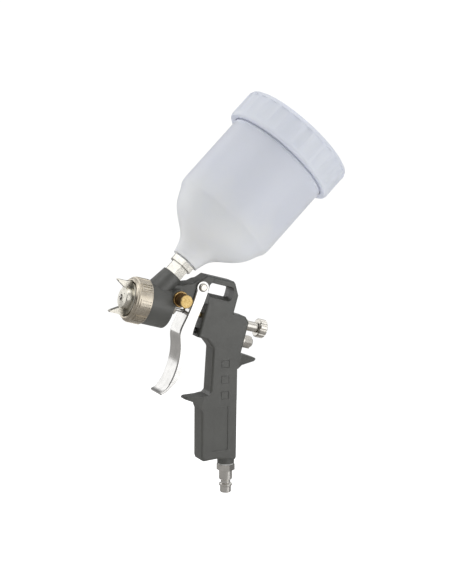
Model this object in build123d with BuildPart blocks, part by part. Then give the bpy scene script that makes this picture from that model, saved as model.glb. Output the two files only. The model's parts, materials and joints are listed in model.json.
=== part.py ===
"""Gravity-feed spray gun, in millimetres.

The origin is the tip of the fluid nozzle.
+X is the spray direction, +Y is the gun's left side and +Z is up.
The fluid needle runs along the X axis.
"""

import math
import os

from build123d import *

os.makedirs("parts", exist_ok=True)

# ---------------------------------------------------------------- dimensions
FIT = 0.05  # radial clearance of a running shaft
GAP = 0.3  # clearance between parts that move past each other

# cast body
HALF_BODY = 8.0  # half thickness of the block and the grip
HALF_BRIDGE = 7.7  # half thickness where the trigger arms straddle it
HEAD_R = 17.3
HEAD_BACK = -40.4
HEAD_TAPER_BACK = -45.8
HEAD_TAPER_R = 6.5
RING_BACK = -21.2
SPIGOT_R = 15.2
SPIGOT_FRONT = -12.6
AIR_CHAMBER_R = 13.4
HORN_HALF = 2.5  # half width of the air cap's horns
RING_R = 18.0
RING_PAD_R = 18.45
RING_PADS = 8
RING_PAD_WIDTH = 7.4
NOZZLE_BOSS_R = 6.6
BLOCK_FRONT = -72.6
BLOCK_BACK = -114.0
RAKE = 16.0  # degrees that the grip leans back
FACE_ROUND = 1.8  # rounding along the edges of the side faces

# fluid and air passages
FLUID_R = 4.0
PACKING_R = 3.2
NEEDLE_R = 1.4
COLLAR_R = 2.4
SPRING_BORE_R = 4.6
AIR_Z = -13.0
AIR_BORE_R = 5.0
AIR_BORE_FRONT = -84.0
BRIDGE_AIR_Z = 14.0
GRIP_AIR_R = 3.8

# trigger
PIVOT = (-64.0, 22.6)
PIVOT_R = 2.3
PIVOT_HEAD_R = 3.4
ARM_INNER = 8.2
ARM_OUTER = 9.7
ARM_END_R = 4.9
WEB = 1.7
FOLD_R = 1.2

# fan valve, on an axis along Y
FAN_X = -44.6
FAN_Z = 10.0
FAN_BORE_R = 3.1
FAN_BOSS_R = 7.2
FAN_BOSS_END = 14.6
FAN_BUSH_R = 6.4
FAN_BUSH_END = 16.8
FAN_KNOB_R = 5.3
FAN_KNOB_END = 27.4

# cup, measured along its own axis from the rim of the body's boss
CUP_TILT = 29.4
CUP_X = -39.5
CUP_Z = 26.3
BOSS_RIM_R = 8.8
BOSS_ROOT_R = 12.6
BOSS_DEPTH = 32.0
CUP_THREAD_R = 5.9
CUP_R = 44.5
CUP_WALL = 1.8
CUP_RIM = 149.5
LID_R = 50.6
LID_LOWER = 128.5
LID_TOP = 154.8

# air inlet, measured along the plug's axis from the face of the inlet boss
INLET = (-131.2, -114.8)
INLET_TILT = 16.5
INLET_BOSS_R = 7.0
INLET_BOSS_CUT = 1.2  # the boss ends this far short of the plug's datum
INLET_THREAD_R = 5.1

SIDE = Plane(origin=(0, 0, 0), x_dir=(1, 0, 0), z_dir=(0, -1, 0))

tilt = math.radians(CUP_TILT)
CUP_UP = (-math.sin(tilt), 0, math.cos(tilt))
CUP_ACROSS = (math.cos(tilt), 0, math.sin(tilt))
CUP_SIDE = Plane(origin=(CUP_X, 0, CUP_Z), x_dir=CUP_ACROSS, z_dir=(0, -1, 0))
CUP_AXIS = Axis((CUP_X, 0, CUP_Z), CUP_UP)
CUP_PLANE = Plane(origin=(CUP_X, 0, CUP_Z), x_dir=CUP_ACROSS, z_dir=CUP_UP)

lean = math.radians(INLET_TILT)
PLUG_OUT = (-math.sin(lean), 0, -math.cos(lean))
PLUG_PLANE = Plane(origin=(INLET[0], 0, INLET[1]), x_dir=(0, 1, 0), z_dir=PLUG_OUT)
PLUG_SIDE = Plane(origin=(INLET[0], 0, INLET[1]), x_dir=(math.cos(lean), 0, -math.sin(lean)), z_dir=(0, 1, 0))
PLUG_AXIS = Axis((INLET[0], 0, INLET[1]), PLUG_OUT)

AIR_SIDE = Plane(origin=(0, 0, AIR_Z), x_dir=(1, 0, 0), z_dir=(0, -1, 0))
AIR_AXIS = Axis((0, 0, AIR_Z), (1, 0, 0))


def along_x(x, z=0.0, y=0.0):
    """Plane that faces +X, for a round section on an axis along X."""
    return Plane(origin=(x, y, z), x_dir=(0, 1, 0), z_dir=(1, 0, 0))


def along_y(y, x, z):
    """Plane that faces +Y, for a round section on an axis along Y."""
    return Plane(origin=(x, y, z), x_dir=(1, 0, 0), z_dir=(0, 1, 0))


def finish(builder, name):
    """Label a finished piece and write it out."""
    builder.part.label = name
    export_step(builder.part, "parts/" + name + ".step")


def helix_spring(plane, start, length, mean_r, wire_r, turns):
    """A compression spring along the plane's normal, with its wire as a swept circle."""
    free = length - 2 * wire_r
    base = plane.offset(start + wire_r)
    path = base.location * Helix(pitch=free / turns, height=free, radius=mean_r)
    section = Plane(origin=path @ 0, z_dir=path % 0) * Circle(wire_r)
    return sweep(section, path=path, is_frenet=True)


# ------------------------------------------------------------- cast gun body
block_outline = [
    (-38.0, 6.0),
    (-38.0, 19.6),
    (-47.0, 20.6),
    (-51.6, 23.0),
    (-55.9, 24.3),
    (-59.0, 26.9),
    (-62.3, 28.3),
    (-66.8, 32.8),
    (-91.0, 32.8),
    (-92.8, 31.2),
    (-98.0, 22.6),
    (-98.1, 7.7),
    (-109.6, 7.2),
    (-113.6, 3.2),
    (BLOCK_BACK, -20.5),
    (-113.8, -31.0),
    (-115.0, -36.5),
    (-135.8, -109.0),
    (-118.4, -111.4),
    (-106.2, -116.0),
    (-104.2, -113.0),
    (-92.5, -73.5),
    (-96.7, -59.0),
    (-88.5, -23.4),
    (-81.0, -17.9),
    (BLOCK_FRONT, -17.4),
    (BLOCK_FRONT, 10.0),
    (-50.0, 10.0),
    (-45.5, 6.0),
]

horn_side = extrude(SIDE * Polygon(
    (-108, -21.8), (-114.5, -23.0), (-129.8, -24.2), (-131.2, -25.2), (-129.8, -26.6),
    (-117.6, -31.8), (-114.6, -35.5), (-108, -36.0), align=None), HALF_BODY, both=True)
horn_plan = extrude(Plane.XY.offset(-40) * Polygon(
    (-106, HALF_BODY), (-115, HALF_BODY), (-129, 4.0), (-131.3, 2.0),
    (-131.3, -2.0), (-129, -4.0), (-115, -HALF_BODY), (-106, -HALF_BODY), align=None), 20, dir=(0, 0, 1))
thumb_horn = horn_side & horn_plan

spur_side = extrude(SIDE * Polygon(
    (-99.0, -57.0), (-97.6, -58.0), (-95.8, -61.6), (-89.6, -64.0), (-77.6, -67.1), (-76.3, -68.0),
    (-77.4, -69.2), (-84.5, -69.8), (-90.6, -71.2), (-92.9, -74.4), (-99.0, -80.0), align=None), HALF_BODY, both=True)
spur_plan = extrude(Plane.XY.offset(-82) * Polygon(
    (-100, HALF_BODY), (-92, HALF_BODY), (-79, 5.0), (-76.2, 2.4),
    (-76.2, -2.4), (-79, -5.0), (-92, -HALF_BODY), (-100, -HALF_BODY), align=None), 32, dir=(0, 0, 1))
finger_spur = spur_side & spur_plan

with BuildPart() as gun_body:
    # slab that holds the bridge, the hanging hook, the valve block and the grip
    with BuildSketch(SIDE):
        Polygon(*block_outline, align=None)
    extrude(amount=HALF_BODY, both=True)
    grip_corners = [e for e in gun_body.edges().filter_by(Axis.Y) if e.center().X > -97.5 and -81 < e.center().Z < -20]
    fillet(grip_corners, 4.0)
    foot_corners = [e for e in gun_body.edges().filter_by(Axis.Y) if e.center().Z < -100]
    fillet(foot_corners, 2.5)
    face_edges = [e for e in gun_body.edges() if abs(abs(e.center().Y) - HALF_BODY) < 0.01]
    fillet(face_edges, FACE_ROUND)
    # head, turned about the spray axis
    with BuildSketch(SIDE):
        Polygon(
            (HEAD_TAPER_BACK, 0), (HEAD_TAPER_BACK, HEAD_TAPER_R), (HEAD_BACK, HEAD_R), (RING_BACK, HEAD_R),
            (RING_BACK, SPIGOT_R), (SPIGOT_FRONT, SPIGOT_R), (SPIGOT_FRONT, 0), align=None)
    revolve(axis=Axis.X)
    # leaning boss under the cup
    with BuildSketch(CUP_SIDE):
        Polygon((0, -BOSS_DEPTH), (BOSS_ROOT_R, -BOSS_DEPTH), (BOSS_RIM_R, 0), (0, 0), align=None)
    revolve(axis=CUP_AXIS)
    # boss of the fan valve, on the left
    with BuildSketch(along_y(6, FAN_X, FAN_Z)):
        Circle(FAN_BOSS_R)
    extrude(amount=FAN_BOSS_END - 6, taper=1)
    # horn over the thumb, spur under the fingers and boss round the air inlet
    add(thumb_horn)
    add(finger_spur)
    with BuildSketch(PLUG_PLANE.offset(-16)):
        Circle(INLET_BOSS_R)
    extrude(amount=16 - INLET_BOSS_CUT)
    # clear the room of the retaining ring
    with BuildSketch(SIDE):
        Polygon((RING_BACK, SPIGOT_R), (RING_BACK, 26), (0, 26), (0, SPIGOT_R), align=None)
    revolve(axis=Axis.X, mode=Mode.SUBTRACT)
    # bridge is a little thinner where the trigger's arms pass
    for side in (1, -1):
        with BuildSketch(Plane.XY.offset(8)):
            with Locations((-64.5, side * (HALF_BRIDGE + 2))):
                Rectangle(17, 4)
        extrude(amount=30, mode=Mode.SUBTRACT)
    # eye of the hanging hook, with drafted walls
    for side in (1, -1):
        with BuildSketch(Plane(origin=(-81.9, 0, 22.9), x_dir=(1, 0, 0), z_dir=(0, side, 0))):
            RectangleRounded(21.4, 8.4, 2.4)
        with BuildSketch(Plane(origin=(-81.6, side * (HALF_BODY + 0.2), 22.2), x_dir=(1, 0, 0), z_dir=(0, side, 0))):
            RectangleRounded(22.6, 12.2, 3.6)
        loft(mode=Mode.SUBTRACT)
    # nozzle seat, fluid chamber and packing bore, along the spray axis
    with BuildSketch(SIDE):
        Polygon(
            (SPIGOT_FRONT, 0), (SPIGOT_FRONT, 4.6), (-20.4, 4.6), (-20.4, FLUID_R), (-36.0, FLUID_R),
            (-37.2, PACKING_R), (HEAD_TAPER_BACK, PACKING_R), (HEAD_TAPER_BACK, 0), align=None)
    revolve(axis=Axis.X, mode=Mode.SUBTRACT)
    # ring-shaped air chamber round the nozzle
    with BuildSketch(SIDE):
        Polygon(
            (SPIGOT_FRONT + 1, NOZZLE_BOSS_R), (SPIGOT_FRONT + 1, AIR_CHAMBER_R), (-23.0, AIR_CHAMBER_R),
            (-23.0, NOZZLE_BOSS_R), align=None)
    revolve(axis=Axis.X, mode=Mode.SUBTRACT)
    # bore of the cup's adapter
    with BuildSketch(CUP_SIDE):
        Polygon(
            (0, 0.5), (CUP_THREAD_R + FIT, 0.5), (CUP_THREAD_R + FIT, -10), (4.4, -10.5), (4.4, -27.0), (0, -27.0),
            align=None)
    revolve(axis=CUP_AXIS, mode=Mode.SUBTRACT)
    # spot face under the fan valve's bush
    with BuildSketch(along_y(FAN_BOSS_END, FAN_X, FAN_Z)):
        Circle(FAN_BUSH_R + 0.6)
    extrude(amount=6, mode=Mode.SUBTRACT)
    # fan valve bore, and the air ways between it, the bridge and the head
    with BuildSketch(along_y(-6.4, FAN_X, FAN_Z)):
        Circle(FAN_BORE_R + FIT)
    extrude(amount=6.4 + FAN_BOSS_END + 1, mode=Mode.SUBTRACT)
    with BuildSketch(along_x(-85.5, BRIDGE_AIR_Z)):
        Circle(1.8)
    extrude(amount=85.5 - 44, mode=Mode.SUBTRACT)
    for y, z in ((9.8, 8.0), (-6.2, 8.4)):
        with BuildSketch(along_x(-44.5, z, y)):
            Circle(1.3)
        extrude(amount=22.5, mode=Mode.SUBTRACT)
    for side in (1, -1):
        with BuildSketch(Plane(origin=(-85.2, side * 3.6, AIR_Z), z_dir=(0, 0, 1))):
            Circle(1.4)
        extrude(amount=BRIDGE_AIR_Z - AIR_Z + 1.0, mode=Mode.SUBTRACT)
    with BuildSketch(along_y(-4.6, -85.2, BRIDGE_AIR_Z - 0.6)):
        Circle(1.4)
    extrude(amount=9.2, mode=Mode.SUBTRACT)
    # needle bore through the block
    with BuildSketch(along_x(BLOCK_FRONT + 1)):
        Circle(COLLAR_R + FIT)
    extrude(amount=-19, mode=Mode.SUBTRACT)
    with BuildSketch(along_x(-90.4)):
        Circle(SPRING_BORE_R)
    extrude(amount=-26, mode=Mode.SUBTRACT)
    # air valve bore and stem hole
    with BuildSketch(along_x(BLOCK_FRONT + 1, AIR_Z)):
        Circle(COLLAR_R + FIT)
    extrude(amount=-14, mode=Mode.SUBTRACT)
    with BuildSketch(along_x(AIR_BORE_FRONT, AIR_Z)):
        Circle(AIR_BORE_R)
    extrude(amount=-32, mode=Mode.SUBTRACT)
    # air way up the grip, with the inlet thread at its foot
    with BuildSketch(PLUG_PLANE.offset(-108)):
        Circle(GRIP_AIR_R)
    extrude(amount=109, mode=Mode.SUBTRACT)
    with BuildSketch(PLUG_PLANE.offset(-12)):
        Circle(INLET_THREAD_R + FIT)
    extrude(amount=13, mode=Mode.SUBTRACT)
    # trigger pivot
    with BuildSketch(along_y(-12, *PIVOT)):
        Circle(PIVOT_R + FIT)
    extrude(amount=24, mode=Mode.SUBTRACT)
    # sunk outlines on both sides of the grip
    for side in (1, -1):
        for step in range(3):
            square = Plane(
                origin=(-102.4 - 3.5 * step, side * (HALF_BODY + 0.1), -33.6 - 12.5 * step),
                x_dir=(math.cos(math.radians(RAKE)), 0, -math.sin(math.radians(RAKE))), z_dir=(0, -side, 0))
            with BuildSketch(square):
                Rectangle(7.4, 6.8)
                Rectangle(5.8, 5.2, mode=Mode.SUBTRACT)
            extrude(amount=0.5, mode=Mode.SUBTRACT)
        panel = Plane(
            origin=(-113.4, side * (HALF_BODY + 0.1), -86.4),
            x_dir=(math.cos(math.radians(RAKE)), 0, -math.sin(math.radians(RAKE))), z_dir=(0, -side, 0))
        with BuildSketch(panel):
            RectangleRounded(14.2, 37.0, 1.2)
        extrude(amount=0.6, mode=Mode.SUBTRACT)
finish(gun_body, "gun_body")

# ----------------------------------------------------------- head and nozzle
with BuildPart() as fluid_nozzle:
    with BuildSketch(SIDE):
        Polygon(
            (0, 0.75), (0, 1.4), (-2.6, 1.6), (-6.6, 3.6), (-6.6, 6.2), (-11.2, 6.2), (-11.2, 4.55),
            (-20.2, 4.55), (-20.2, 3.4), (-8.0, 2.9), (-2.2, 0.75), align=None)
    revolve(axis=Axis.X)
    with BuildSketch(along_x(-10.6)):
        RegularPolygon(6.9, 6, major_radius=False)
        Circle(6.0, mode=Mode.SUBTRACT)
    extrude(amount=3.6)
finish(fluid_nozzle, "fluid_nozzle")

with BuildPart() as air_baffle:
    with BuildSketch(SIDE):
        Polygon(
            (-12.5, 4.7), (-11.3, 4.7), (-11.3, 11.3), (-10.0, 11.3), (-10.0, 12.4), (-11.3, 12.4), (-11.3, 13.2),
            (-12.5, 13.2), align=None)
    revolve(axis=Axis.X)
    with BuildSketch(along_x(-13)):
        with PolarLocations(9.2, 12):
            Circle(1.0)
    extrude(amount=2.5, mode=Mode.SUBTRACT)
finish(air_baffle, "air_baffle")

with BuildPart() as air_cap:
    with BuildSketch(SIDE):
        Polygon(
            (-9.8, 10.6), (-9.8, 14.7), (-8.0, 14.7), (-8.0, 13.7), (-6.4, 13.2), (-6.4, 9.2), (-2.6, 8.8), (-2.1, 8.2),
            (-1.5, 3.2), (-1.2, 2.3), (-3.4, 2.3), (-4.4, 5.8), (-6.2, 7.2), (-6.9, 8.3), (-8.4, 10.6),
            align=None)
    revolve(axis=Axis.X)
    # two horns with flat milled sides
    with BuildSketch(SIDE):
        for side in (1, -1):
            Polygon(
                (-7.0, side * 7.4), (-2.2, side * 7.6), (5.0, side * 11.9), (5.9, side * 12.8), (5.5, side * 13.9),
                (-3.4, side * 14.5), (-7.0, side * 14.5), align=None)
    extrude(amount=HORN_HALF, both=True)
    with BuildSketch(SIDE):
        Polygon((-9.9, 14.7), (-9.9, 20), (9, 20), (9, 13.7), (-2, 13.7), (-3.4, 14.0), (-8.0, 14.0), (-8.0, 14.7), align=None)
    revolve(axis=Axis.X, mode=Mode.SUBTRACT)
    # atomising holes round the nozzle, and the fan holes in the horns
    with BuildSketch(along_x(-8)):
        with PolarLocations(4.6, 4, start_angle=45):
            Circle(0.45)
        with PolarLocations(6.4, 2, start_angle=90):
            Circle(0.45)
    extrude(amount=8, mode=Mode.SUBTRACT)
    for side in (1, -1):
        for reach in (1.0, 3.4):
            with BuildSketch(Plane(origin=(reach, 0, side * 13.2), z_dir=(0.35, 0, -side))):
                Circle(0.55)
            extrude(amount=6, mode=Mode.SUBTRACT)
finish(air_cap, "air_cap")

pads = extrude(along_x(-20.4) * (Circle(RING_PAD_R) - Circle(RING_R - 0.5)), 9.8)
pad_blocks = [
    Rot(X=360 / RING_PADS * turn) * Pos(-15.5, 0, RING_R) * Box(9.8, RING_PAD_WIDTH, 4) for turn in range(RING_PADS)]
pads = pads & Part() + pad_blocks

with BuildPart() as air_cap_ring:
    with BuildSketch(SIDE):
        Polygon(
            (-7.6, 14.0), (-6.8, 14.8), (-6.8, 15.9), (-7.6, 16.7), (-8.9, 16.9), (-9.3, RING_R), (-20.6, RING_R),
            (-21.0, 17.5), (-21.0, 15.5), (-10.1, 15.5), (-10.1, 15.0), (-7.7, 15.0), (-7.7, 14.0), align=None)
    revolve(axis=Axis.X)
    add(pads)
    # three slots along each pad
    with BuildSketch(along_x(-19.4)):
        for turn in range(RING_PADS):
            for slot in (-1, 0, 1):
                with PolarLocations(RING_PAD_R, 1, start_angle=90 + 360 / RING_PADS * turn + 7.5 * slot):
                    Rectangle(1.0, 1.0)
    extrude(amount=7.8, mode=Mode.SUBTRACT)
finish(air_cap_ring, "air_cap_ring")

# ---------------------------------------------------------------- needle line
with BuildPart() as fluid_needle:
    with BuildSketch(SIDE):
        Polygon(
            (-0.6, 0), (-0.8, 0.4), (-6.0, NEEDLE_R), (-113.0, NEEDLE_R), (-113.4, 1.0), (-113.4, 0), align=None)
    revolve(axis=Axis.X)
finish(fluid_needle, "fluid_needle")

with BuildPart() as needle_collar:
    with BuildSketch(SIDE):
        Polygon(
            (-59.6, NEEDLE_R), (-59.6, 1.8), (-60.4, COLLAR_R), (-84.0, COLLAR_R), (-84.0, NEEDLE_R), align=None)
    revolve(axis=Axis.X)
finish(needle_collar, "needle_collar")

with BuildPart() as needle_shoulder:
    with BuildSketch(SIDE):
        Polygon((-96.4, NEEDLE_R), (-96.4, 3.6), (-98.2, 3.6), (-98.2, NEEDLE_R), align=None)
    revolve(axis=Axis.X)
finish(needle_shoulder, "needle_shoulder")

with BuildPart() as needle_packing:
    with BuildSketch(SIDE):
        Polygon(
            (-37.4, NEEDLE_R + FIT), (-37.4, PACKING_R - 0.02), (-41.0, PACKING_R - 0.02), (-41.0, NEEDLE_R + FIT),
            align=None)
    revolve(axis=Axis.X)
finish(needle_packing, "needle_packing")

with BuildPart() as packing_nut:
    with BuildSketch(SIDE):
        Polygon(
            (-41.1, NEEDLE_R + FIT), (-41.1, PACKING_R - FIT), (-45.9, PACKING_R - FIT), (-45.9, 3.9),
            (-48.9, 3.9), (-49.5, 3.4), (-49.5, NEEDLE_R + FIT), align=None)
    revolve(axis=Axis.X)
    with BuildSketch(along_x(-45.9)):
        RegularPolygon(4.1, 6, major_radius=False)
        Circle(3.6, mode=Mode.SUBTRACT)
    extrude(amount=-2.8)
finish(packing_nut, "packing_nut")

needle_coil = helix_spring(along_x(0), -111.8, 13.5, 2.35, 0.4, 7)
with BuildPart() as needle_spring:
    add(needle_coil)
finish(needle_spring, "needle_spring")

SLEEVE_BORE = 3.2
with BuildPart() as needle_sleeve:
    with BuildSketch(SIDE):
        Polygon(
            (-103.6, SLEEVE_BORE), (-103.6, SPRING_BORE_R - FIT), (-114.1, SPRING_BORE_R - FIT), (-114.1, 5.0),
            (-115.0, 4.9), (-115.3, 4.1), (-124.8, 4.1), (-124.8, SLEEVE_BORE), align=None)
    revolve(axis=Axis.X)
finish(needle_sleeve, "needle_sleeve")

KNOB_R = 7.75
with BuildPart() as fluid_knob:
    with BuildSketch(SIDE):
        Polygon(
            (-112.1, 1.75), (-112.1, SLEEVE_BORE - FIT), (-125.1, SLEEVE_BORE - FIT), (-125.1, 6.6), (-125.9, KNOB_R),
            (-131.2, KNOB_R), (-132.0, 6.9), (-132.0, 3.0), (-131.5, 2.6), (-131.5, 0), (-119.0, 0), (-119.0, 1.75),
            align=None)
    revolve(axis=Axis.X)
    with BuildSketch(along_x(-132.5)):
        with PolarLocations(KNOB_R + 0.4, 12):
            Circle(1.15)
    extrude(amount=8, mode=Mode.SUBTRACT)
finish(fluid_knob, "fluid_knob")

# ------------------------------------------------------------------ air valve
with BuildPart() as air_valve_stem:
    with BuildSketch(AIR_SIDE):
        Polygon(
            (-57.4, 0), (-57.4, 1.7), (-58.2, COLLAR_R), (-84.4, COLLAR_R), (-84.4, 1.5), (-99.0, 1.5), (-99.0, 0),
            align=None)
    revolve(axis=AIR_AXIS)
finish(air_valve_stem, "air_valve_stem")

with BuildPart() as air_valve_seat:
    with BuildSketch(AIR_SIDE):
        Polygon(
            (-84.0, COLLAR_R + GAP), (-84.0, AIR_BORE_R), (-86.4, AIR_BORE_R), (-86.4, 3.6), (-87.0, 3.2),
            (-87.0, COLLAR_R + GAP), align=None)
    revolve(axis=AIR_AXIS)
finish(air_valve_seat, "air_valve_seat")

with BuildPart() as air_valve_disc:
    with BuildSketch(AIR_SIDE):
        Polygon((-87.1, 1.5), (-87.1, 3.9), (-88.4, 3.9), (-88.4, 1.5), align=None)
    revolve(axis=AIR_AXIS)
finish(air_valve_disc, "air_valve_disc")

with BuildPart() as air_valve_piston:
    with BuildSketch(AIR_SIDE):
        Polygon((-88.4, 1.5), (-88.4, 4.3), (-90.4, 4.3), (-90.4, 2.2), (-92.4, 2.2), (-92.4, 1.5), align=None)
    revolve(axis=AIR_AXIS)
finish(air_valve_piston, "air_valve_piston")

air_coil = helix_spring(along_x(0, AIR_Z), -107.0, 16.5, 3.3, 0.5, 6)
with BuildPart() as air_valve_spring:
    add(air_coil)
finish(air_valve_spring, "air_valve_spring")

with BuildPart() as air_valve_cap:
    with BuildSketch(AIR_SIDE):
        Polygon(
            (-103.8, 4.1), (-103.8, AIR_BORE_R - FIT), (-114.1, AIR_BORE_R - FIT), (-114.1, 5.4), (-115.6, 5.4),
            (-115.6, 4.6), (-122.4, 4.6), (-124.0, 3.4), (-124.0, 0), (-107.1, 0), (-107.1, 4.1), align=None)
    revolve(axis=AIR_AXIS)
    with BuildSketch(along_x(-115.6, AIR_Z)):
        RegularPolygon(4.95, 6, major_radius=False)
        Circle(4.4, mode=Mode.SUBTRACT)
    extrude(amount=-6.4)
finish(air_valve_cap, "air_valve_cap")

# -------------------------------------------------------------------- trigger
front_edge = [
    (-59.1, 22.4), (-58.9, 12.8), (-58.0, 4.0), (-55.8, -8.0), (-54.6, -17.0), (-55.2, -20.6), (-57.2, -26.3),
    (-59.3, -36.0), (-59.6, -46.0), (-58.9, -53.0), (-57.4, -58.9), (-55.2, -63.4), (-51.2, -67.4),
]
rear_edge = [
    (-52.6, -69.0), (-57.0, -65.6), (-60.4, -60.6), (-63.4, -55.0), (-65.2, -48.8), (-66.1, -39.0), (-66.2, -29.0),
    (-65.7, -17.0), (-65.9, -8.0), (-67.2, 3.0), (-68.6, 13.0), (-68.9, 22.4),
]
inner_front = [(x - WEB, z) for x, z in front_edge[:-2]] + [(-56.0, -64.4), (-52.4, -68.7)]

with BuildPart() as trigger:
    with BuildSketch(SIDE):
        with BuildLine():
            Spline(*front_edge)
            Line(front_edge[-1], rear_edge[0])
            Spline(*rear_edge)
            Line(rear_edge[-1], front_edge[0])
        make_face()
    extrude(amount=ARM_OUTER, both=True)
    # folds between the web and the arms are rounded
    folds = [e for e in trigger.edges() if abs(abs(e.center().Y) - ARM_OUTER) < 0.01 and e.center().X > -60]
    fillet(folds, FOLD_R)
    with BuildSketch(SIDE):
        with Locations(PIVOT):
            Circle(ARM_END_R)
    extrude(amount=ARM_OUTER, both=True)
    # hollow the channel out behind the web, and open it above the needle
    with BuildSketch(SIDE):
        with BuildLine():
            Spline(*inner_front)
            Polyline(inner_front[-1], (-54.0, -74.0), (-80, -74.0), (-80, 40), (inner_front[0][0], 40), inner_front[0])
        make_face()
    extrude(amount=ARM_INNER, both=True, mode=Mode.SUBTRACT)
    with BuildSketch(SIDE):
        Polygon((-50, 3.0), (-50, 40), (-80, 40), (-80, 3.0), align=None)
    extrude(amount=ARM_INNER, both=True, mode=Mode.SUBTRACT)
    # slot for the needle
    with BuildSketch(along_x(-50)):
        Circle(1.9)
        with Locations((0, 2.5)):
            Rectangle(3.8, 5)
    extrude(amount=-12, mode=Mode.SUBTRACT)
    with BuildSketch(along_y(-12, *PIVOT)):
        Circle(PIVOT_R + FIT)
    extrude(amount=24, mode=Mode.SUBTRACT)
finish(trigger, "trigger")

with BuildPart() as pivot_screw:
    with BuildSketch(along_y(-9.0, *PIVOT)):
        Circle(PIVOT_R)
    extrude(amount=9.0 + ARM_OUTER + 0.1)
    with BuildSketch(along_y(ARM_OUTER + 0.1, *PIVOT)):
        Circle(PIVOT_HEAD_R)
    extrude(amount=1.9)
    fillet(pivot_screw.edges().sort_by(Axis.Y)[-1], 1.3)
finish(pivot_screw, "pivot_screw")

with BuildPart() as pivot_nut:
    with BuildSketch(along_y(-ARM_OUTER - 0.1, *PIVOT)):
        Circle(PIVOT_HEAD_R)
    extrude(amount=-1.9)
    fillet(pivot_nut.edges().sort_by(Axis.Y)[0], 0.6)
    with BuildSketch(along_y(-ARM_OUTER - 0.1, *PIVOT)):
        Circle(PIVOT_R)
    extrude(amount=ARM_OUTER + 0.1 - 9.0)
finish(pivot_nut, "pivot_nut")

# ------------------------------------------------------------------ fan valve
with BuildPart() as fan_valve_bush:
    with BuildSketch(along_y(3.5, FAN_X, FAN_Z)):
        Circle(FAN_BORE_R)
    extrude(amount=FAN_BOSS_END - 3.5)
    with BuildSketch(along_y(FAN_BOSS_END, FAN_X, FAN_Z)):
        Circle(FAN_BUSH_R)
    extrude(amount=FAN_BUSH_END - FAN_BOSS_END)
    chamfer(fan_valve_bush.edges().sort_by(Axis.Y)[-1], 0.6)
    with BuildSketch(along_y(3, FAN_X, FAN_Z)):
        Circle(1.9 + FIT)
    extrude(amount=20, mode=Mode.SUBTRACT)
    with BuildSketch(along_y(FAN_BOSS_END, FAN_X, FAN_Z)):
        with PolarLocations(FAN_BUSH_R + 0.25, 30):
            Circle(0.4)
    extrude(amount=FAN_BUSH_END - FAN_BOSS_END - 1.2, mode=Mode.SUBTRACT)
finish(fan_valve_bush, "fan_valve_bush")

with BuildPart() as fan_valve_knob:
    with BuildSketch(along_y(-4.0, FAN_X, FAN_Z)):
        Circle(1.9)
    extrude(amount=4.0 + FAN_BUSH_END + 0.4)
    with BuildSketch(along_y(FAN_BUSH_END + 0.3, FAN_X, FAN_Z)):
        Circle(FAN_KNOB_R)
    extrude(amount=FAN_KNOB_END - FAN_BUSH_END - 0.3)
    chamfer(fan_valve_knob.edges().sort_by(Axis.Y)[-1], 0.5)
    with BuildSketch(along_y(FAN_BUSH_END + 0.3, FAN_X, FAN_Z)):
        with PolarLocations(FAN_KNOB_R + 0.2, 32):
            Circle(0.35)
    extrude(amount=FAN_KNOB_END - FAN_BUSH_END - 2.6, mode=Mode.SUBTRACT)
    with BuildSketch(along_y(-4.0, FAN_X, FAN_Z)):
        Circle(1.3)
    extrude(amount=-1.2)
finish(fan_valve_knob, "fan_valve_knob")

# ------------------------------------------------------------------------ cup
HEX_SMALL = 14.6
HEX_LARGE = 18.6
HEX_MID = 9.3
CUP_FOOT = 13.9
STUD_TOP = 21.5
STUD_R = 7.0
with BuildPart() as cup_adapter:
    with BuildSketch(CUP_PLANE.offset(-9.6)):
        Circle(CUP_THREAD_R)
    extrude(amount=9.7)
    with BuildSketch(CUP_PLANE.offset(0.05)):
        RegularPolygon(HEX_SMALL / 2, 6, major_radius=False, rotation=8)
    extrude(amount=HEX_MID - 0.05)
    with BuildSketch(CUP_PLANE.offset(HEX_MID)):
        RegularPolygon(HEX_LARGE / 2, 6, major_radius=False, rotation=8)
    extrude(amount=CUP_FOOT - HEX_MID)
    with BuildSketch(CUP_PLANE.offset(CUP_FOOT)):
        Circle(STUD_R)
    extrude(amount=STUD_TOP - CUP_FOOT)
    with BuildSketch(CUP_PLANE.offset(-10)):
        Circle(4.3)
    extrude(amount=32, mode=Mode.SUBTRACT)
finish(cup_adapter, "cup_adapter")

with BuildPart() as adapter_gasket:
    with BuildSketch(CUP_PLANE.offset(CUP_FOOT)):
        Circle(9.0)
        Circle(STUD_R + 0.05, mode=Mode.SUBTRACT)
    extrude(amount=1.2)
finish(adapter_gasket, "adapter_gasket")

NECK_LOW = CUP_FOOT + 1.25
cup_outer = [(13.0, 21.0), (19.5, 31.5), (24.0, 35.2), (31.0, 41.0), (37.5, 49.0), (42.0, 58.5), (CUP_R, 70.0)]
cup_inner = [(11.2, 23.5), (17.6, 33.0), (22.6, 37.2), (29.6, 43.0), (35.8, 50.4), (40.2, 59.2), (CUP_R - CUP_WALL, 70.0)]
with BuildPart() as paint_cup:
    with BuildSketch(CUP_SIDE):
        with BuildLine():
            Polyline((STUD_R + FIT, NECK_LOW), (11.6, NECK_LOW), (12.0, 17.5), cup_outer[0])
            Spline(*cup_outer, tangents=((0.25, 1), (0, 1)))
            Polyline(
                cup_outer[-1], (CUP_R, 126.0), (CUP_R + 0.6, 127.0), (CUP_R, 128.0), (CUP_R, CUP_RIM),
                (CUP_R - CUP_WALL, CUP_RIM), cup_inner[-1])
            Spline(*cup_inner, tangents=((0.3, 1), (0, 1)))
            Polyline(cup_inner[0], (8.6, 22.0), (STUD_R + FIT, 21.6), (STUD_R + FIT, NECK_LOW))
        make_face()
    revolve(axis=CUP_AXIS)
finish(paint_cup, "paint_cup")

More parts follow.
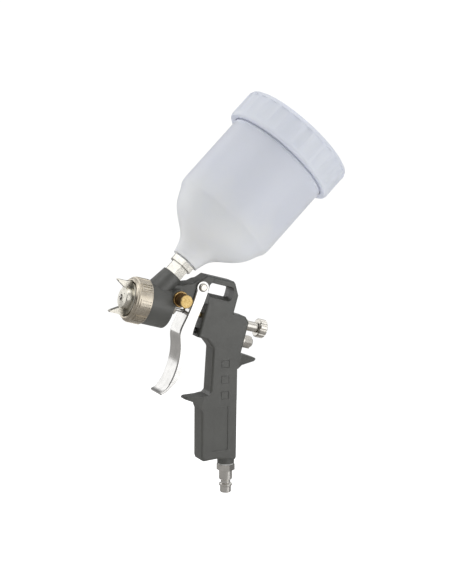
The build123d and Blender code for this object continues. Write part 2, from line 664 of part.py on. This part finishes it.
with BuildPart() as paint_strainer:
    with BuildSketch(CUP_SIDE):
        Polygon(
            (3.4, 15.0), (4.15, 15.0), (4.15, 21.8), (7.6, 22.6), (7.6, 23.6), (6.4, 23.8), (5.2, 44.0), (3.8, 45.5),
            (0, 45.5), (0, 44.7), (3.4, 44.7), (4.4, 43.6), (5.6, 24.0), (3.4, 22.6), align=None)
    revolve(axis=CUP_AXIS)
    for ring in range(4):
        for turn in range(8):
            spoke = 45 * turn
            mesh_plane = CUP_PLANE.offset(28.0 + 4.2 * ring).rotated((0, 0, spoke))
            with BuildSketch(Plane(origin=mesh_plane.origin, x_dir=mesh_plane.z_dir, z_dir=mesh_plane.x_dir)):
                Rectangle(2.8, 2.0)
            extrude(amount=8, mode=Mode.SUBTRACT)
finish(paint_strainer, "paint_strainer")

LID_FLOOR = 151.1
SCOOP_R = 22.0
SCOOP_DEPTH = 0.75
with BuildPart() as cup_lid:
    with BuildSketch(CUP_SIDE):
        Polygon(
            (0, LID_FLOOR), (46.8, LID_FLOOR), (46.8, 131.5), (CUP_R + 0.7, 130.2), (CUP_R + 0.7, LID_LOWER),
            (49.0, LID_LOWER), (50.0, 129.2), (LID_R, 130.8), (LID_R, 151.6), (49.6, 154.0), (48.0, LID_TOP),
            (44.0, LID_TOP), (43.0, 153.4), (0, 153.4), align=None)
    revolve(axis=CUP_AXIS)
    # broad shallow scoops leave ribs round the skirt
    with BuildSketch(CUP_PLANE.offset(132.6)):
        with PolarLocations(LID_R + SCOOP_R - SCOOP_DEPTH, 26):
            Circle(SCOOP_R)
    extrude(amount=18.6, mode=Mode.SUBTRACT)
    with BuildSketch(CUP_PLANE.offset(150)):
        Circle(2.05)
    extrude(amount=5, mode=Mode.SUBTRACT)
finish(cup_lid, "cup_lid")

with BuildPart() as lid_gasket:
    with BuildSketch(CUP_PLANE.offset(CUP_RIM)):
        Circle(46.2)
        Circle(40.5, mode=Mode.SUBTRACT)
    extrude(amount=LID_FLOOR - CUP_RIM)
finish(lid_gasket, "lid_gasket")

with BuildPart() as vent_plug:
    with BuildSketch(CUP_SIDE):
        Polygon(
            (0.5, 149.6), (2.6, 149.6), (2.6, 150.4), (2.0, 151.0), (2.0, 153.4), (4.4, 153.4), (4.0, 155.4),
            (0.5, 155.8), align=None)
    revolve(axis=CUP_AXIS)
finish(vent_plug, "vent_plug")

# ------------------------------------------------------------------ air inlet
SEAL = 1.0
with BuildPart() as air_plug:
    with BuildSketch(PLUG_PLANE.offset(-11)):
        Circle(INLET_THREAD_R)
    extrude(amount=12.2)
    with BuildSketch(PLUG_PLANE.offset(SEAL - INLET_BOSS_CUT)):
        RegularPolygon(6.5, 6, major_radius=False)
    extrude(amount=4.9 - SEAL + INLET_BOSS_CUT)
    with BuildSketch(PLUG_SIDE):
        Polygon(
            (0, 4.5), (5.5, 4.5), (5.5, 12.3), (4.9, 12.9), (4.0, 13.4), (4.0, 15.8), (5.4, 16.6), (5.4, 18.0),
            (4.6, 18.8), (4.6, 23.2), (4.1, 23.8), (0, 23.8), align=None)
    revolve(axis=PLUG_AXIS)
    with BuildSketch(PLUG_PLANE.offset(-12)):
        Circle(2.9)
    extrude(amount=40, mode=Mode.SUBTRACT)
finish(air_plug, "air_plug")

with BuildPart() as inlet_seal:
    with BuildSketch(PLUG_PLANE.offset(-INLET_BOSS_CUT)):
        Circle(6.4)
        Circle(INLET_THREAD_R + 0.05, mode=Mode.SUBTRACT)
    extrude(amount=SEAL)
finish(inlet_seal, "inlet_seal")
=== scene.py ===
import json
import math

import bmesh
import bpy
from mathutils import Matrix, Vector


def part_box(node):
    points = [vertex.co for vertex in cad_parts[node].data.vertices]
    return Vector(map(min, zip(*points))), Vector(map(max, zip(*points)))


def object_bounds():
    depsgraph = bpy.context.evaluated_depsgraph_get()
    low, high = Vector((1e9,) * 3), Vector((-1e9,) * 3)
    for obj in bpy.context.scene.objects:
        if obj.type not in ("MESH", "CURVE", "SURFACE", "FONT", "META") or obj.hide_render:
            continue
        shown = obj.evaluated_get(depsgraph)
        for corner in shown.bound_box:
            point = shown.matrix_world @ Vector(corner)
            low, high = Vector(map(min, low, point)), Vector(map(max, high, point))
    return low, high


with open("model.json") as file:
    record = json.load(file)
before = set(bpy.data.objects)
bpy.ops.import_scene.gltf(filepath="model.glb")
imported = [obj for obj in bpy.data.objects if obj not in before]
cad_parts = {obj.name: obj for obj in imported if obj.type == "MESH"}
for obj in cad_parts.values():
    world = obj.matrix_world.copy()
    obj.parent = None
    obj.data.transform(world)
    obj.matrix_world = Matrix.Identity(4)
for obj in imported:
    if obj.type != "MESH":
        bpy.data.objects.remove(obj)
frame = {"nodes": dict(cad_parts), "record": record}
FRAME_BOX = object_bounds()
NODES = frame["nodes"]
JOINTS = {j["name"]: j for j in frame["record"]["behaviour"]["joints"]}

# Axes of the gun's round parts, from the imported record.
SPRAY = Vector((1, 0, 0))
CUP_UP = Vector(JOINTS["lid_lift"]["axis"]).normalized()
INLET = next(m for m in frame["record"]["mounts"] if m["name"] == "air_inlet")
PLUG_OUT = Vector(INLET["axis"]).normalized()


# ------------------------------------------------------------------ materials
class Nodes:
    """Short names for building a material's node tree."""

    def __init__(self, name):
        self.mat = bpy.data.materials.new(name)
        self.mat.use_nodes = True
        self.tree = self.mat.node_tree
        self.tree.nodes.clear()
        self.out = self.tree.nodes.new("ShaderNodeOutputMaterial")
        self.bsdf = self.tree.nodes.new("ShaderNodeBsdfPrincipled")
        self.tree.links.new(self.bsdf.outputs[0], self.out.inputs["Surface"])

    def new(self, kind, **values):
        node = self.tree.nodes.new(kind)
        for key, value in values.items():
            if key in node.inputs:
                node.inputs[key].default_value = value
            else:
                setattr(node, key, value)
        return node

    def link(self, a, b):
        self.tree.links.new(a, b)

    def set(self, name, value):
        self.bsdf.inputs[name].default_value = value

    def coords(self, stretch=(1, 1, 1)):
        """Object coordinates in metres, stretched."""
        tex = self.new("ShaderNodeTexCoord")
        mapping = self.new("ShaderNodeMapping")
        mapping.inputs["Scale"].default_value = stretch
        self.link(tex.outputs["Object"], mapping.inputs["Vector"])
        return mapping.outputs[0]

    def noise(self, scale, detail=3.0, rough=0.5, vector=None):
        node = self.new("ShaderNodeTexNoise")
        node.inputs["Scale"].default_value = scale
        node.inputs["Detail"].default_value = detail
        node.inputs["Roughness"].default_value = rough
        self.link(vector or self.coords(), node.inputs["Vector"])
        return node.outputs["Fac"]

    def span(self, fac, low, high, a=0.3, b=0.7):
        node = self.new("ShaderNodeMapRange")
        node.inputs["From Min"].default_value = a
        node.inputs["From Max"].default_value = b
        node.inputs["To Min"].default_value = low
        node.inputs["To Max"].default_value = high
        self.link(fac, node.inputs["Value"])
        return node.outputs[0]

    def mix(self, fac, a, b):
        node = self.new("ShaderNodeMix", data_type="RGBA")
        if isinstance(fac, float):
            node.inputs[0].default_value = fac
        else:
            self.link(fac, node.inputs[0])
        for socket, value in ((node.inputs[6], a), (node.inputs[7], b)):
            if isinstance(value, tuple):
                socket.default_value = (*value, 1)
            else:
                self.link(value, socket)
        return node.outputs[2]

    def math(self, kind, a, b=0.0):
        node = self.new("ShaderNodeMath", operation=kind)
        for socket, value in ((node.inputs[0], a), (node.inputs[1], b)):
            if isinstance(value, (int, float)):
                socket.default_value = value
            else:
                self.link(value, socket)
        return node.outputs[0]

    def bump(self, height, distance, strength=1.0, after=None):
        node = self.new("ShaderNodeBump")
        node.inputs["Strength"].default_value = strength
        node.inputs["Distance"].default_value = distance
        self.link(height, node.inputs["Height"])
        if after is not None:
            self.link(after, node.inputs["Normal"])
        return node.outputs[0]

    def edges(self, radius, low=0.02, high=0.25):
        """1 on sharp edges, 0 on flats."""
        bevel = self.new("ShaderNodeBevel", samples=6)
        bevel.inputs["Radius"].default_value = radius
        geo = self.new("ShaderNodeNewGeometry")
        dot = self.new("ShaderNodeVectorMath", operation="DOT_PRODUCT")
        self.link(bevel.outputs[0], dot.inputs[0])
        self.link(geo.outputs["Normal"], dot.inputs[1])
        return self.span(self.math("SUBTRACT", 1.0, dot.outputs["Value"]), 0.0, 1.0, low, high)

    def along(self, axis):
        """Distance along an axis, in metres."""
        tex = self.new("ShaderNodeTexCoord")
        dot = self.new("ShaderNodeVectorMath", operation="DOT_PRODUCT")
        self.link(tex.outputs["Object"], dot.inputs[0])
        dot.inputs[1].default_value = axis
        return dot.outputs["Value"]

    def lathe(self, axis, pitch):
        """Fine rings left by turning, as a height from -1 to 1."""
        wobble = self.noise(900.0, 2.0)
        run = self.math("ADD", self.along(axis), self.math("MULTIPLY", wobble, pitch * 1.5))
        return self.math("SINE", self.math("MULTIPLY", run, 2 * math.pi / pitch))


def coated_metal(name, colour, light, rough=0.42):
    """Satin paint on a casting: fine orange peel, faint mottling and thin paint on the edges."""
    n = Nodes(name)
    broad = n.noise(45.0, 4.0)
    fine = n.noise(420.0, 3.0)
    darker = tuple(c * 0.92 for c in colour)
    paler = tuple(min(1, c * 1.08) for c in colour)
    tone = n.mix(n.span(broad, 0.0, 1.0), darker, paler)
    worn = n.math("MULTIPLY", n.edges(0.0007), n.span(n.noise(160.0, 4.0), 0.0, 0.75, 0.42, 0.66))
    n.link(n.mix(worn, tone, light), n.bsdf.inputs["Base Color"])
    n.link(n.span(fine, rough - 0.05, rough + 0.07), n.bsdf.inputs["Roughness"])
    peel = n.bump(n.noise(900.0, 2.0), 0.00012, 0.5)
    n.link(n.bump(n.noise(2600.0, 2.0), 0.00005, 0.5, peel), n.bsdf.inputs["Normal"])
    n.set("Specular IOR Level", 0.85)
    return n.mat


def bare_metal(name, colour, rough, tint=None, axis=None, pitch=0.00018, depth=0.000006, spots=0.10):
    """Plated or bare metal: turning marks if it has an axis, smudges, painted shade in corners and painted
    highlights on the edges.
    """
    n = Nodes(name)
    n.set("Metallic", 1.0)
    tint = tint or tuple(c * 0.82 for c in colour)
    smudge = n.noise(150.0, 5.0, 0.6)
    tone = n.mix(n.span(smudge, 0.0, 1.0, 0.35, 0.7), colour, tint)
    # painted shade: ambient occlusion darkens the colour in corners and hollows
    hollow = n.new("ShaderNodeAmbientOcclusion", samples=6, Distance=0.003)
    painted_shade = n.span(hollow.outputs["AO"], 1.0, 0.0, 0.25, 0.75)
    tone = n.mix(painted_shade, tone, tuple(c * 0.22 for c in colour))
    # painted highlight: the edges are lighter in the base colour
    bright = n.mix(n.edges(0.0003), tone, tuple(min(1.0, c * 1.18) for c in colour))
    n.link(bright, n.bsdf.inputs["Base Color"])
    n.link(n.span(n.noise(380.0, 4.0, 0.6), rough - spots * 0.5, rough + spots), n.bsdf.inputs["Roughness"])
    grain = n.bump(n.noise(2200.0, 3.0, 0.6), 0.00002, 0.35)
    if axis is not None:
        grain = n.bump(n.lathe(axis, pitch), depth, 0.6, grain)
    n.link(grain, n.bsdf.inputs["Normal"])
    return n.mat


def cup_plastic(name, colour, lit_bottom_colour, foot_end, rough=0.36, depth=0.004, weight=0.6):
    """Milky moulded polyethylene: painted light makes it lighter towards the bottom, with faint flow marks.
    """
    n = Nodes(name)
    cloud = n.span(n.noise(28.0, 3.0), -0.012, 0.012)
    reach = n.math("ADD", n.along(CUP_UP), cloud)
    # painted light: the colour turns lighter towards the bottom, where light from below falls
    rise = n.span(reach, 0.0, 1.0, foot_end, foot_end + 0.06)
    n.link(n.mix(rise, lit_bottom_colour, colour), n.bsdf.inputs["Base Color"])
    n.set("Subsurface Weight", weight)
    n.set("Subsurface Radius", (1.0, 1.0, 1.1))
    n.set("Subsurface Scale", depth)
    n.link(n.span(n.noise(240.0, 3.0), rough - 0.03, rough + 0.06), n.bsdf.inputs["Roughness"])
    n.link(n.bump(n.noise(600.0, 3.0), 0.00006, 0.4), n.bsdf.inputs["Normal"])
    return n.mat


def plain_plastic(name, colour, rough=0.5):
    """Plain moulded plastic or rubber of the small inner parts, faintly mottled."""
    n = Nodes(name)
    mottle = n.span(n.noise(220.0), 0.0, 1.0)
    n.link(n.mix(mottle, colour, tuple(c * 0.9 for c in colour)), n.bsdf.inputs["Base Color"])
    n.link(n.span(n.noise(500.0), rough - 0.05, rough + 0.08), n.bsdf.inputs["Roughness"])
    n.link(n.bump(n.noise(1500.0, 3.0), 0.00003, 0.5), n.bsdf.inputs["Normal"])
    return n.mat


def brass_with_painted_shade(name, face_y):
    """Brass knob: bright grainy end face, with painted shade making the flutes behind it dark brown."""
    n = Nodes(name)
    n.set("Metallic", 1.0)
    grain = n.noise(900.0, 4.0, 0.7)
    face = n.mix(n.span(grain, 0.0, 1.0, 0.35, 0.65), (0.80, 0.60, 0.27), (0.62, 0.42, 0.15))
    # painted shade: the flutes behind the end face get a dark brown colour
    dark = n.mix(n.span(n.noise(300.0, 3.0), 0.0, 1.0), (0.16, 0.085, 0.03), (0.30, 0.18, 0.07))
    reach = n.along(Vector((0, 1, 0)))
    at_face = n.span(reach, 0.0, 1.0, face_y - 0.0014, face_y - 0.0004)
    n.link(n.mix(at_face, dark, face), n.bsdf.inputs["Base Color"])
    n.link(n.span(grain, 0.30, 0.50), n.bsdf.inputs["Roughness"])
    n.link(n.bump(grain, 0.00005, 0.5), n.bsdf.inputs["Normal"])
    return n.mat


NICKEL = (0.80, 0.77, 0.71)
BRASS = (0.86, 0.64, 0.27)
SPRING_STEEL = (0.55, 0.54, 0.53)
SIDEWAYS = Vector((0, 1, 0))

knob_brass = brass_with_painted_shade("knob_brass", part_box("fan_valve_knob")[1][1])
body_coat = coated_metal("body_coat", (0.083, 0.084, 0.076), (0.20, 0.20, 0.19))
finishes = {
    "gun_body": body_coat,
    "fluid_nozzle": bare_metal("nozzle_steel", (0.70, 0.68, 0.64), 0.26, axis=SPRAY),
    "air_baffle": plain_plastic("baffle_plastic", (0.55, 0.55, 0.52)),
    "air_cap": bare_metal("cap_nickel", (0.76, 0.73, 0.65), 0.22, axis=SPRAY, pitch=0.0003),
    "air_cap_ring": bare_metal(
        "ring_nickel", (0.69, 0.63, 0.53), 0.27, tint=(0.52, 0.46, 0.37), axis=SPRAY
    ),
    "fluid_needle": bare_metal("needle_steel", (0.72, 0.71, 0.69), 0.14, axis=SPRAY),
    "needle_collar": bare_metal("collar_brass", BRASS, 0.26, axis=SPRAY),
    "needle_shoulder": bare_metal("shoulder_brass", BRASS, 0.3, axis=SPRAY),
    "needle_packing": plain_plastic("packing_plastic", (0.85, 0.85, 0.82)),
    "packing_nut": bare_metal("nut_nickel", NICKEL, 0.24),
    "needle_spring": bare_metal("spring_steel", SPRING_STEEL, 0.3),
    "needle_sleeve": bare_metal("sleeve_nickel", NICKEL, 0.2, axis=SPRAY),
    "fluid_knob": bare_metal("knob_nickel", NICKEL, 0.2, axis=SPRAY),
    "air_valve_stem": bare_metal("stem_steel", (0.10, 0.10, 0.10), 0.35, axis=SPRAY),
    "air_valve_seat": bare_metal("seat_brass", BRASS, 0.3, axis=SPRAY),
    "air_valve_disc": plain_plastic("disc_rubber", (0.03, 0.03, 0.03), 0.7),
    "air_valve_piston": bare_metal("piston_brass", BRASS, 0.3, axis=SPRAY),
    "air_valve_spring": bare_metal("air_spring_steel", SPRING_STEEL, 0.3),
    "air_valve_cap": bare_metal("plug_nickel", (0.78, 0.75, 0.69), 0.24, axis=SPRAY),
    "trigger": bare_metal("trigger_chrome", (0.86, 0.85, 0.83), 0.13, spots=0.05),
    "pivot_screw": bare_metal("screw_nickel", NICKEL, 0.22, axis=SIDEWAYS),
    "pivot_nut": bare_metal("pivot_nut_nickel", NICKEL, 0.22, axis=SIDEWAYS),
    "fan_valve_bush": bare_metal(
        "bush_brass", (0.60, 0.40, 0.16), 0.24, tint=(0.40, 0.25, 0.10), axis=SIDEWAYS
    ),
    "fan_valve_knob": knob_brass,
    "cup_adapter": bare_metal("adapter_nickel", (0.78, 0.76, 0.70), 0.18, axis=CUP_UP),
    "adapter_gasket": plain_plastic("adapter_gasket", (0.75, 0.76, 0.76)),
    "paint_cup": cup_plastic("cup_plastic", (0.79, 0.825, 0.985), (0.93, 0.955, 1.0), 0.070),
    "paint_strainer": plain_plastic("strainer_plastic", (0.80, 0.80, 0.80)),
    "cup_lid": cup_plastic(
        "lid_plastic", (0.80, 0.835, 0.945), (0.84, 0.875, 0.96), 0.14, rough=0.34, weight=0.4
    ),
    "lid_gasket": plain_plastic("lid_gasket", (0.80, 0.80, 0.78)),
    "vent_plug": plain_plastic("vent_plastic", (0.78, 0.80, 0.88)),
    "air_plug": bare_metal("inlet_nickel", (0.84, 0.82, 0.78), 0.16, axis=PLUG_OUT),
    "inlet_seal": plain_plastic("inlet_seal", (0.70, 0.70, 0.68)),
}
for node, material in finishes.items():
    obj = NODES[node]
    if not obj.material_slots:
        obj.data.materials.append(material)
    for spot in obj.material_slots:
        spot.material = material


# ------------------------------------------------------------- floor and light
FLOOR_HALF = 0.8
FLOOR_DROP = 0.03
low, high = FRAME_BOX
middle = (Vector(low) + Vector(high)) / 2
floor_mesh = bpy.data.meshes.new("floor")
bm = bmesh.new()
bmesh.ops.create_grid(bm, x_segments=1, y_segments=1, size=FLOOR_HALF)
bm.to_mesh(floor_mesh)
bm.free()
floor = bpy.data.objects.new("floor", floor_mesh)
floor.location = (middle.x, middle.y, low[2] - FLOOR_DROP)
bpy.context.scene.collection.objects.link(floor)
pale = Nodes("floor_pale")
pale.set("Roughness", 0.9)
pale.set("Emission Color", (1, 1, 1, 1))
# the floor looks white from the camera, and greyer where bright metal mirrors it
path = pale.new("ShaderNodeLightPath")
pale.link(
    pale.mix(path.outputs["Is Glossy Ray"], (0.95, 0.95, 0.95), (0.30, 0.29, 0.28)),
    pale.bsdf.inputs["Base Color"],
)
pale.link(
    pale.span(path.outputs["Is Camera Ray"], 0.10, 0.66, 0.0, 1.0),
    pale.bsdf.inputs["Emission Strength"],
)
floor.data.materials.append(pale.mat)


def direction(azimuth, elevation):
    """Unit vector from the gun, with the azimuth turned from +X towards +Y, in degrees."""
    a = math.radians(azimuth)
    e = math.radians(elevation)
    return Vector((math.cos(e) * math.cos(a), math.cos(e) * math.sin(a), math.sin(e)))


# A white room with a few soft dark strips, which draw dark lines along the edges of bright metal:
# azimuth and half width in degrees, and how dark.
STRIPS = (
    (30, 20, 0.90),
    (66, 9, 0.85),
    (-8, 9, 0.5),
    (-100, 14, 0.7),
    (150, 10, 0.75),
    (178, 9, 0.85),
    (-150, 9, 0.6),
)
ROOM = 0.68
BACKGROUND = 1.05
FADE_START = 0.45
FADE_END = 0.8
world = bpy.data.worlds.new("studio")
bpy.context.scene.world = world
world.use_nodes = True
tree = world.node_tree
tree.nodes.clear()


def room_node(kind, **values):
    node = tree.nodes.new(kind)
    for key, value in values.items():
        setattr(node, key, value)
    return node


def room_math(kind, a, b=0.0):
    node = room_node("ShaderNodeMath", operation=kind)
    for socket, value in zip(node.inputs, (a, b)):
        if isinstance(value, (int, float)):
            socket.default_value = value
        else:
            tree.links.new(value, socket)
    return node.outputs[0]


look = room_node("ShaderNodeTexCoord").outputs["Generated"]
flat = room_node("ShaderNodeVectorMath", operation="MULTIPLY")
tree.links.new(look, flat.inputs[0])
flat.inputs[1].default_value = (1, 1, 0)
level = room_node("ShaderNodeVectorMath", operation="NORMALIZE")
tree.links.new(flat.outputs[0], level.inputs[0])
shade = 1.0
for azimuth, half, depth in STRIPS:
    facing = room_node("ShaderNodeVectorMath", operation="DOT_PRODUCT")
    tree.links.new(level.outputs[0], facing.inputs[0])
    facing.inputs[1].default_value = direction(azimuth, 0)
    edge = room_node("ShaderNodeMapRange", interpolation_type="SMOOTHSTEP")
    tree.links.new(facing.outputs["Value"], edge.inputs["Value"])
    edge.inputs["From Min"].default_value = math.cos(math.radians(half * 1.4))
    edge.inputs["From Max"].default_value = math.cos(math.radians(half * 0.7))
    edge.inputs["To Min"].default_value = 1.0
    edge.inputs["To Max"].default_value = 1.0 - depth
    shade = room_math("MULTIPLY", edge.outputs[0], shade)
# the strips fade out overhead
rise = room_node("ShaderNodeSeparateXYZ")
tree.links.new(look, rise.inputs[0])
fade = room_node("ShaderNodeMapRange")
tree.links.new(rise.outputs[2], fade.inputs["Value"])
fade.inputs["From Min"].default_value = FADE_START
fade.inputs["From Max"].default_value = FADE_END
blend = room_node("ShaderNodeMix", data_type="FLOAT")
tree.links.new(fade.outputs[0], blend.inputs[0])
tree.links.new(shade, blend.inputs[2])
blend.inputs[3].default_value = 1.0
seen = room_node("ShaderNodeLightPath").outputs["Is Camera Ray"]
strength = room_math(
    "MAXIMUM",
    room_math("MULTIPLY", blend.outputs[0], ROOM),
    room_math("MULTIPLY", seen, BACKGROUND),
)
room = room_node("ShaderNodeBackground")
room.inputs["Color"].default_value = (1, 1, 1, 1)
tree.links.new(strength, room.inputs["Strength"])
tree.links.new(room.outputs[0], room_node("ShaderNodeOutputWorld").inputs["Surface"])


def soft_light(name, toward, distance, size, power):
    """A square area light that faces the gun."""
    data = bpy.data.lights.new(name, "AREA")
    data.size = size
    data.energy = power
    light = bpy.data.objects.new(name, data)
    spot = middle + toward * distance
    facing = (middle - spot).to_track_quat("-Z", "Y").to_matrix().to_4x4()
    light.matrix_world = Matrix.Translation(spot) @ facing
    bpy.context.scene.collection.objects.link(light)


soft_light("side", direction(118, 10), 1.35, 1.1, 3.5)
soft_light("key", direction(8, 40), 1.4, 1.0, 3.6)
soft_light("front", direction(-50, 6), 1.4, 1.5, 3.4)
soft_light("top", direction(150, 78), 1.3, 0.8, 2.4)

# --------------------------------------------------------------------- camera
# The camera's axes, its distance from the point that it looks at, and that point.
RIGHT = Vector((-0.86492319, 0.42763945, 0.26274014))
UP = Vector((0.2028659, -0.18095241, 0.96234175))
BACK = Vector((0.45907876, 0.88565271, 0.06975647))
DISTANCE = 1.70
AIM = Vector((-0.089818, 0, 0.022621))
LENS = 129.95
SENSOR = 36.0
camera_data = bpy.data.cameras.new("camera")
camera = bpy.data.objects.new("camera", camera_data)
bpy.context.scene.collection.objects.link(camera)
turn = Matrix((RIGHT, UP, BACK)).transposed().to_4x4()
camera.matrix_world = Matrix.Translation(AIM + BACK * DISTANCE) @ turn
camera_data.sensor_width = SENSOR
camera_data.lens = LENS
camera_data.clip_start = 0.01
camera_data.clip_end = 50
bpy.context.scene.camera = camera
bpy.context.scene.view_settings.view_transform = "Standard"
